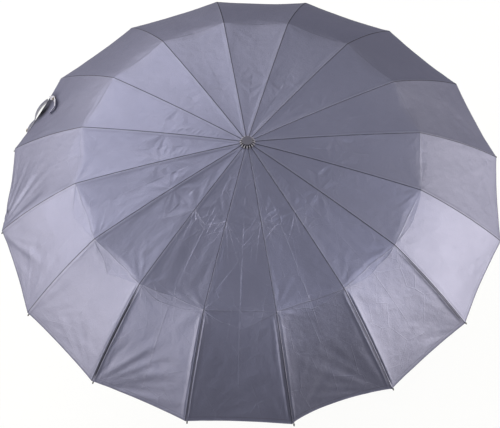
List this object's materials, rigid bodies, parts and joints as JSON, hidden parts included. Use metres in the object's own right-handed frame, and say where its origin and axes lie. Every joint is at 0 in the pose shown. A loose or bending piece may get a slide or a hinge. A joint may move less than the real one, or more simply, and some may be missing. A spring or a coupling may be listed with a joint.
{
  "type": "folding umbrella",
  "caption": "Automatic folding umbrella, shown open: satin canopy on hinged folding ribs, runner and sliding two-part shaft, with a push-button grip and a closing strap.",
  "frame": {"origin": "middle of the grip, on the shaft's axis, where a hand holds it", "axes": "+Z along the shaft, from the grip up to the crown; +X along a rib, the one numbered 01, with the others numbered counter-clockwise seen from above; the push button faces -Y"},
  "size_m": [1.0492, 1.0492, 0.6348],
  "materials": {
    "rib_steel": "pressed, lightly greased",
    "rod_black": "black enamel",
    "stretcher_steel": "pressed, lightly greased",
    "crown_black": "moulded",
    "cap_grey": "moulded, smooth",
    "runner_black": "moulded",
    "upper_tube_steel": "bright drawn",
    "lower_tube_steel": "bright drawn",
    "grip_black": "soft-touch coat",
    "end_cap_black": "smooth",
    "button_grey": "smooth",
    "spring_steel": "oiled",
    "cloth_lavender": "satin weave",
    "strap_lavender": "satin weave, folded double"
  },
  "bodies": {
    "handle": {"grip": "grip_black", "grip_end_cap": "end_cap_black", "lower_tube": "lower_tube_steel", "button_spring": "spring_steel"},
    "button": {"push_button": "button_grey"},
    "upper_shaft": {"upper_tube": "upper_tube_steel", "crown_notch": "crown_black", "ferrule_cap": "cap_grey", "canopy": "cloth_lavender", "closing_strap": "strap_lavender", "opening_spring": "spring_steel"},
    "runner": {"runner": "runner_black"},
    "inner_rib_01": {"inner_rib_01": "rib_steel"},
    "outer_rib_01": {"outer_rib_01": "rod_black"},
    "stretcher_01": {"stretcher_01": "stretcher_steel"},
    "inner_rib_02": {"inner_rib_02": "rib_steel"},
    "outer_rib_02": {"outer_rib_02": "rod_black"},
    "stretcher_02": {"stretcher_02": "stretcher_steel"},
    "inner_rib_03": {"inner_rib_03": "rib_steel"},
    "outer_rib_03": {"outer_rib_03": "rod_black"},
    "stretcher_03": {"stretcher_03": "stretcher_steel"},
    "inner_rib_04": {"inner_rib_04": "rib_steel"},
    "outer_rib_04": {"outer_rib_04": "rod_black"},
    "stretcher_04": {"stretcher_04": "stretcher_steel"},
    "inner_rib_05": {"inner_rib_05": "rib_steel"},
    "outer_rib_05": {"outer_rib_05": "rod_black"},
    "stretcher_05": {"stretcher_05": "stretcher_steel"},
    "inner_rib_06": {"inner_rib_06": "rib_steel"},
    "outer_rib_06": {"outer_rib_06": "rod_black"},
    "stretcher_06": {"stretcher_06": "stretcher_steel"},
    "inner_rib_07": {"inner_rib_07": "rib_steel"},
    "outer_rib_07": {"outer_rib_07": "rod_black"},
    "stretcher_07": {"stretcher_07": "stretcher_steel"},
    "inner_rib_08": {"inner_rib_08": "rib_steel"},
    "outer_rib_08": {"outer_rib_08": "rod_black"},
    "stretcher_08": {"stretcher_08": "stretcher_steel"},
    "inner_rib_09": {"inner_rib_09": "rib_steel"},
    "outer_rib_09": {"outer_rib_09": "rod_black"},
    "stretcher_09": {"stretcher_09": "stretcher_steel"},
    "inner_rib_10": {"inner_rib_10": "rib_steel"},
    "outer_rib_10": {"outer_rib_10": "rod_black"},
    "stretcher_10": {"stretcher_10": "stretcher_steel"},
    "inner_rib_11": {"inner_rib_11": "rib_steel"},
    "outer_rib_11": {"outer_rib_11": "rod_black"},
    "stretcher_11": {"stretcher_11": "stretcher_steel"},
    "inner_rib_12": {"inner_rib_12": "rib_steel"},
    "outer_rib_12": {"outer_rib_12": "rod_black"},
    "stretcher_12": {"stretcher_12": "stretcher_steel"},
    "inner_rib_13": {"inner_rib_13": "rib_steel"},
    "outer_rib_13": {"outer_rib_13": "rod_black"},
    "stretcher_13": {"stretcher_13": "stretcher_steel"},
    "inner_rib_14": {"inner_rib_14": "rib_steel"},
    "outer_rib_14": {"outer_rib_14": "rod_black"},
    "stretcher_14": {"stretcher_14": "stretcher_steel"},
    "inner_rib_15": {"inner_rib_15": "rib_steel"},
    "outer_rib_15": {"outer_rib_15": "rod_black"},
    "stretcher_15": {"stretcher_15": "stretcher_steel"},
    "inner_rib_16": {"inner_rib_16": "rib_steel"},
    "outer_rib_16": {"outer_rib_16": "rod_black"},
    "stretcher_16": {"stretcher_16": "stretcher_steel"}
  },
  "joints": [
    {"name": "button_press", "type": "slide", "parent": "handle", "child": "button", "axis": [0, 1, 0], "range_m": [0, 0.002], "stiffness_N_per_m": 400, "springref_m": -0.002, "deforming": ["button_spring"]},
    {"name": "shaft_slide", "type": "slide", "parent": "handle", "child": "upper_shaft", "axis": [0, 0, 1], "range_m": [-0.16, 0], "stiffness_N_per_m": 60, "springref_m": 0.5, "deforming": ["opening_spring"]},
    {"name": "runner_slide", "type": "slide", "parent": "upper_shaft", "child": "runner", "axis": [0, 0, 1], "range_m": [-0.2456, 0], "stiffness_N_per_m": 40, "springref_m": 0.4, "deforming": ["canopy", "closing_strap"]},
    {"name": "crown_hinge_01", "type": "hinge", "parent": "upper_shaft", "child": "inner_rib_01", "pos_m": [0.0125, 0, 0.5805], "axis": [0, 1, 0], "range_deg": [0, 78]},
    {"name": "kink_hinge_01", "type": "hinge", "parent": "inner_rib_01", "child": "outer_rib_01", "pos_m": [0.35, 0, 0.5257], "axis": [0, 1, 0], "range_deg": [-204.22, 0]},
    {"name": "stretcher_hinge_01", "type": "hinge", "parent": "inner_rib_01", "child": "stretcher_01", "pos_m": [0.1765, 0, 0.55797], "axis": [0, 1, 0], "range_deg": [-138.99, 0]},
    {"name": "crown_hinge_02", "type": "hinge", "parent": "upper_shaft", "child": "inner_rib_02", "pos_m": [0.01155, 0.00478, 0.5805], "axis": [-0.3827, 0.9239, 0], "range_deg": [0, 78]},
    {"name": "kink_hinge_02", "type": "hinge", "parent": "inner_rib_02", "child": "outer_rib_02", "pos_m": [0.32336, 0.13394, 0.5257], "axis": [-0.3827, 0.9239, 0], "range_deg": [-204.22, 0]},
    {"name": "stretcher_hinge_02", "type": "hinge", "parent": "inner_rib_02", "child": "stretcher_02", "pos_m": [0.16306, 0.06754, 0.55797], "axis": [-0.3827, 0.9239, 0], "range_deg": [-138.99, 0]},
    {"name": "crown_hinge_03", "type": "hinge", "parent": "upper_shaft", "child": "inner_rib_03", "pos_m": [0.00884, 0.00884, 0.5805], "axis": [-0.7071, 0.7071, 0], "range_deg": [0, 78]},
    {"name": "kink_hinge_03", "type": "hinge", "parent": "inner_rib_03", "child": "outer_rib_03", "pos_m": [0.24749, 0.24749, 0.5257], "axis": [-0.7071, 0.7071, 0], "range_deg": [-204.22, 0]},
    {"name": "stretcher_hinge_03", "type": "hinge", "parent": "inner_rib_03", "child": "stretcher_03", "pos_m": [0.1248, 0.1248, 0.55797], "axis": [-0.7071, 0.7071, 0], "range_deg": [-138.99, 0]},
    {"name": "crown_hinge_04", "type": "hinge", "parent": "upper_shaft", "child": "inner_rib_04", "pos_m": [0.00478, 0.01155, 0.5805], "axis": [-0.9239, 0.3827, 0], "range_deg": [0, 78]},
    {"name": "kink_hinge_04", "type": "hinge", "parent": "inner_rib_04", "child": "outer_rib_04", "pos_m": [0.13394, 0.32336, 0.5257], "axis": [-0.9239, 0.3827, 0], "range_deg": [-204.22, 0]},
    {"name": "stretcher_hinge_04", "type": "hinge", "parent": "inner_rib_04", "child": "stretcher_04", "pos_m": [0.06754, 0.16306, 0.55797], "axis": [-0.9239, 0.3827, 0], "range_deg": [-138.99, 0]},
    {"name": "crown_hinge_05", "type": "hinge", "parent": "upper_shaft", "child": "inner_rib_05", "pos_m": [0, 0.0125, 0.5805], "axis": [-1, 0, 0], "range_deg": [0, 78]},
    {"name": "kink_hinge_05", "type": "hinge", "parent": "inner_rib_05", "child": "outer_rib_05", "pos_m": [0, 0.35, 0.5257], "axis": [-1, 0, 0], "range_deg": [-204.22, 0]},
    {"name": "stretcher_hinge_05", "type": "hinge", "parent": "inner_rib_05", "child": "stretcher_05", "pos_m": [0, 0.1765, 0.55797], "axis": [-1, 0, 0], "range_deg": [-138.99, 0]},
    {"name": "crown_hinge_06", "type": "hinge", "parent": "upper_shaft", "child": "inner_rib_06", "pos_m": [-0.00478, 0.01155, 0.5805], "axis": [-0.9239, -0.3827, 0], "range_deg": [0, 78]},
    {"name": "kink_hinge_06", "type": "hinge", "parent": "inner_rib_06", "child": "outer_rib_06", "pos_m": [-0.13394, 0.32336, 0.5257], "axis": [-0.9239, -0.3827, 0], "range_deg": [-204.22, 0]},
    {"name": "stretcher_hinge_06", "type": "hinge", "parent": "inner_rib_06", "child": "stretcher_06", "pos_m": [-0.06754, 0.16306, 0.55797], "axis": [-0.9239, -0.3827, 0], "range_deg": [-138.99, 0]},
    {"name": "crown_hinge_07", "type": "hinge", "parent": "upper_shaft", "child": "inner_rib_07", "pos_m": [-0.00884, 0.00884, 0.5805], "axis": [-0.7071, -0.7071, 0], "range_deg": [0, 78]},
    {"name": "kink_hinge_07", "type": "hinge", "parent": "inner_rib_07", "child": "outer_rib_07", "pos_m": [-0.24749, 0.24749, 0.5257], "axis": [-0.7071, -0.7071, 0], "range_deg": [-204.22, 0]},
    {"name": "stretcher_hinge_07", "type": "hinge", "parent": "inner_rib_07", "child": "stretcher_07", "pos_m": [-0.1248, 0.1248, 0.55797], "axis": [-0.7071, -0.7071, 0], "range_deg": [-138.99, 0]},
    {"name": "crown_hinge_08", "type": "hinge", "parent": "upper_shaft", "child": "inner_rib_08", "pos_m": [-0.01155, 0.00478, 0.5805], "axis": [-0.3827, -0.9239, 0], "range_deg": [0, 78]},
    {"name": "kink_hinge_08", "type": "hinge", "parent": "inner_rib_08", "child": "outer_rib_08", "pos_m": [-0.32336, 0.13394, 0.5257], "axis": [-0.3827, -0.9239, 0], "range_deg": [-204.22, 0]},
    {"name": "stretcher_hinge_08", "type": "hinge", "parent": "inner_rib_08", "child": "stretcher_08", "pos_m": [-0.16306, 0.06754, 0.55797], "axis": [-0.3827, -0.9239, 0], "range_deg": [-138.99, 0]},
    {"name": "crown_hinge_09", "type": "hinge", "parent": "upper_shaft", "child": "inner_rib_09", "pos_m": [-0.0125, 0, 0.5805], "axis": [0, -1, 0], "range_deg": [0, 78]},
    {"name": "kink_hinge_09", "type": "hinge", "parent": "inner_rib_09", "child": "outer_rib_09", "pos_m": [-0.35, 0, 0.5257], "axis": [0, -1, 0], "range_deg": [-204.22, 0]},
    {"name": "stretcher_hinge_09", "type": "hinge", "parent": "inner_rib_09", "child": "stretcher_09", "pos_m": [-0.1765, 0, 0.55797], "axis": [0, -1, 0], "range_deg": [-138.99, 0]},
    {"name": "crown_hinge_10", "type": "hinge", "parent": "upper_shaft", "child": "inner_rib_10", "pos_m": [-0.01155, -0.00478, 0.5805], "axis": [0.3827, -0.9239, 0], "range_deg": [0, 78]},
    {"name": "kink_hinge_10", "type": "hinge", "parent": "inner_rib_10", "child": "outer_rib_10", "pos_m": [-0.32336, -0.13394, 0.5257], "axis": [0.3827, -0.9239, 0], "range_deg": [-204.22, 0]},
    {"name": "stretcher_hinge_10", "type": "hinge", "parent": "inner_rib_10", "child": "stretcher_10", "pos_m": [-0.16306, -0.06754, 0.55797], "axis": [0.3827, -0.9239, 0], "range_deg": [-138.99, 0]},
    {"name": "crown_hinge_11", "type": "hinge", "parent": "upper_shaft", "child": "inner_rib_11", "pos_m": [-0.00884, -0.00884, 0.5805], "axis": [0.7071, -0.7071, 0], "range_deg": [0, 78]},
    {"name": "kink_hinge_11", "type": "hinge", "parent": "inner_rib_11", "child": "outer_rib_11", "pos_m": [-0.24749, -0.24749, 0.5257], "axis": [0.7071, -0.7071, 0], "range_deg": [-204.22, 0]},
    {"name": "stretcher_hinge_11", "type": "hinge", "parent": "inner_rib_11", "child": "stretcher_11", "pos_m": [-0.1248, -0.1248, 0.55797], "axis": [0.7071, -0.7071, 0], "range_deg": [-138.99, 0]},
    {"name": "crown_hinge_12", "type": "hinge", "parent": "upper_shaft", "child": "inner_rib_12", "pos_m": [-0.00478, -0.01155, 0.5805], "axis": [0.9239, -0.3827, 0], "range_deg": [0, 78]},
    {"name": "kink_hinge_12", "type": "hinge", "parent": "inner_rib_12", "child": "outer_rib_12", "pos_m": [-0.13394, -0.32336, 0.5257], "axis": [0.9239, -0.3827, 0], "range_deg": [-204.22, 0]},
    {"name": "stretcher_hinge_12", "type": "hinge", "parent": "inner_rib_12", "child": "stretcher_12", "pos_m": [-0.06754, -0.16306, 0.55797], "axis": [0.9239, -0.3827, 0], "range_deg": [-138.99, 0]},
    {"name": "crown_hinge_13", "type": "hinge", "parent": "upper_shaft", "child": "inner_rib_13", "pos_m": [0, -0.0125, 0.5805], "axis": [1, 0, 0], "range_deg": [0, 78]},
    {"name": "kink_hinge_13", "type": "hinge", "parent": "inner_rib_13", "child": "outer_rib_13", "pos_m": [0, -0.35, 0.5257], "axis": [1, 0, 0], "range_deg": [-204.22, 0]},
    {"name": "stretcher_hinge_13", "type": "hinge", "parent": "inner_rib_13", "child": "stretcher_13", "pos_m": [0, -0.1765, 0.55797], "axis": [1, 0, 0], "range_deg": [-138.99, 0]},
    {"name": "crown_hinge_14", "type": "hinge", "parent": "upper_shaft", "child": "inner_rib_14", "pos_m": [0.00478, -0.01155, 0.5805], "axis": [0.9239, 0.3827, 0], "range_deg": [0, 78]},
    {"name": "kink_hinge_14", "type": "hinge", "parent": "inner_rib_14", "child": "outer_rib_14", "pos_m": [0.13394, -0.32336, 0.5257], "axis": [0.9239, 0.3827, 0], "range_deg": [-204.22, 0]},
    {"name": "stretcher_hinge_14", "type": "hinge", "parent": "inner_rib_14", "child": "stretcher_14", "pos_m": [0.06754, -0.16306, 0.55797], "axis": [0.9239, 0.3827, 0], "range_deg": [-138.99, 0]},
    {"name": "crown_hinge_15", "type": "hinge", "parent": "upper_shaft", "child": "inner_rib_15", "pos_m": [0.00884, -0.00884, 0.5805], "axis": [0.7071, 0.7071, 0], "range_deg": [0, 78]},
    {"name": "kink_hinge_15", "type": "hinge", "parent": "inner_rib_15", "child": "outer_rib_15", "pos_m": [0.24749, -0.24749, 0.5257], "axis": [0.7071, 0.7071, 0], "range_deg": [-204.22, 0]},
    {"name": "stretcher_hinge_15", "type": "hinge", "parent": "inner_rib_15", "child": "stretcher_15", "pos_m": [0.1248, -0.1248, 0.55797], "axis": [0.7071, 0.7071, 0], "range_deg": [-138.99, 0]},
    {"name": "crown_hinge_16", "type": "hinge", "parent": "upper_shaft", "child": "inner_rib_16", "pos_m": [0.01155, -0.00478, 0.5805], "axis": [0.3827, 0.9239, 0], "range_deg": [0, 78]},
    {"name": "kink_hinge_16", "type": "hinge", "parent": "inner_rib_16", "child": "outer_rib_16", "pos_m": [0.32336, -0.13394, 0.5257], "axis": [0.3827, 0.9239, 0], "range_deg": [-204.22, 0]},
    {"name": "stretcher_hinge_16", "type": "hinge", "parent": "inner_rib_16", "child": "stretcher_16", "pos_m": [0.16306, -0.06754, 0.55797], "axis": [0.3827, 0.9239, 0], "range_deg": [-138.99, 0]}
  ],
  "couplings": [
    {"joint": "crown_hinge_01", "follows": "runner_slide", "rad_per_m": -5.543},
    {"joint": "kink_hinge_01", "follows": "runner_slide", "rad_per_m": 14.512},
    {"joint": "stretcher_hinge_01", "follows": "runner_slide", "rad_per_m": 9.8768},
    {"joint": "crown_hinge_02", "follows": "runner_slide", "rad_per_m": -5.543},
    {"joint": "kink_hinge_02", "follows": "runner_slide", "rad_per_m": 14.512},
    {"joint": "stretcher_hinge_02", "follows": "runner_slide", "rad_per_m": 9.8768},
    {"joint": "crown_hinge_03", "follows": "runner_slide", "rad_per_m": -5.543},
    {"joint": "kink_hinge_03", "follows": "runner_slide", "rad_per_m": 14.512},
    {"joint": "stretcher_hinge_03", "follows": "runner_slide", "rad_per_m": 9.8768},
    {"joint": "crown_hinge_04", "follows": "runner_slide", "rad_per_m": -5.543},
    {"joint": "kink_hinge_04", "follows": "runner_slide", "rad_per_m": 14.512},
    {"joint": "stretcher_hinge_04", "follows": "runner_slide", "rad_per_m": 9.8768},
    {"joint": "crown_hinge_05", "follows": "runner_slide", "rad_per_m": -5.543},
    {"joint": "kink_hinge_05", "follows": "runner_slide", "rad_per_m": 14.512},
    {"joint": "stretcher_hinge_05", "follows": "runner_slide", "rad_per_m": 9.8768},
    {"joint": "crown_hinge_06", "follows": "runner_slide", "rad_per_m": -5.543},
    {"joint": "kink_hinge_06", "follows": "runner_slide", "rad_per_m": 14.512},
    {"joint": "stretcher_hinge_06", "follows": "runner_slide", "rad_per_m": 9.8768},
    {"joint": "crown_hinge_07", "follows": "runner_slide", "rad_per_m": -5.543},
    {"joint": "kink_hinge_07", "follows": "runner_slide", "rad_per_m": 14.512},
    {"joint": "stretcher_hinge_07", "follows": "runner_slide", "rad_per_m": 9.8768},
    {"joint": "crown_hinge_08", "follows": "runner_slide", "rad_per_m": -5.543},
    {"joint": "kink_hinge_08", "follows": "runner_slide", "rad_per_m": 14.512},
    {"joint": "stretcher_hinge_08", "follows": "runner_slide", "rad_per_m": 9.8768},
    {"joint": "crown_hinge_09", "follows": "runner_slide", "rad_per_m": -5.543},
    {"joint": "kink_hinge_09", "follows": "runner_slide", "rad_per_m": 14.512},
    {"joint": "stretcher_hinge_09", "follows": "runner_slide", "rad_per_m": 9.8768},
    {"joint": "crown_hinge_10", "follows": "runner_slide", "rad_per_m": -5.543},
    {"joint": "kink_hinge_10", "follows": "runner_slide", "rad_per_m": 14.512},
    {"joint": "stretcher_hinge_10", "follows": "runner_slide", "rad_per_m": 9.8768},
    {"joint": "crown_hinge_11", "follows": "runner_slide", "rad_per_m": -5.543},
    {"joint": "kink_hinge_11", "follows": "runner_slide", "rad_per_m": 14.512},
    {"joint": "stretcher_hinge_11", "follows": "runner_slide", "rad_per_m": 9.8768},
    {"joint": "crown_hinge_12", "follows": "runner_slide", "rad_per_m": -5.543},
    {"joint": "kink_hinge_12", "follows": "runner_slide", "rad_per_m": 14.512},
    {"joint": "stretcher_hinge_12", "follows": "runner_slide", "rad_per_m": 9.8768},
    {"joint": "crown_hinge_13", "follows": "runner_slide", "rad_per_m": -5.543},
    {"joint": "kink_hinge_13", "follows": "runner_slide", "rad_per_m": 14.512},
    {"joint": "stretcher_hinge_13", "follows": "runner_slide", "rad_per_m": 9.8768},
    {"joint": "crown_hinge_14", "follows": "runner_slide", "rad_per_m": -5.543},
    {"joint": "kink_hinge_14", "follows": "runner_slide", "rad_per_m": 14.512},
    {"joint": "stretcher_hinge_14", "follows": "runner_slide", "rad_per_m": 9.8768},
    {"joint": "crown_hinge_15", "follows": "runner_slide", "rad_per_m": -5.543},
    {"joint": "kink_hinge_15", "follows": "runner_slide", "rad_per_m": 14.512},
    {"joint": "stretcher_hinge_15", "follows": "runner_slide", "rad_per_m": 9.8768},
    {"joint": "crown_hinge_16", "follows": "runner_slide", "rad_per_m": -5.543},
    {"joint": "kink_hinge_16", "follows": "runner_slide", "rad_per_m": 14.512},
    {"joint": "stretcher_hinge_16", "follows": "runner_slide", "rad_per_m": 9.8768}
  ]
}
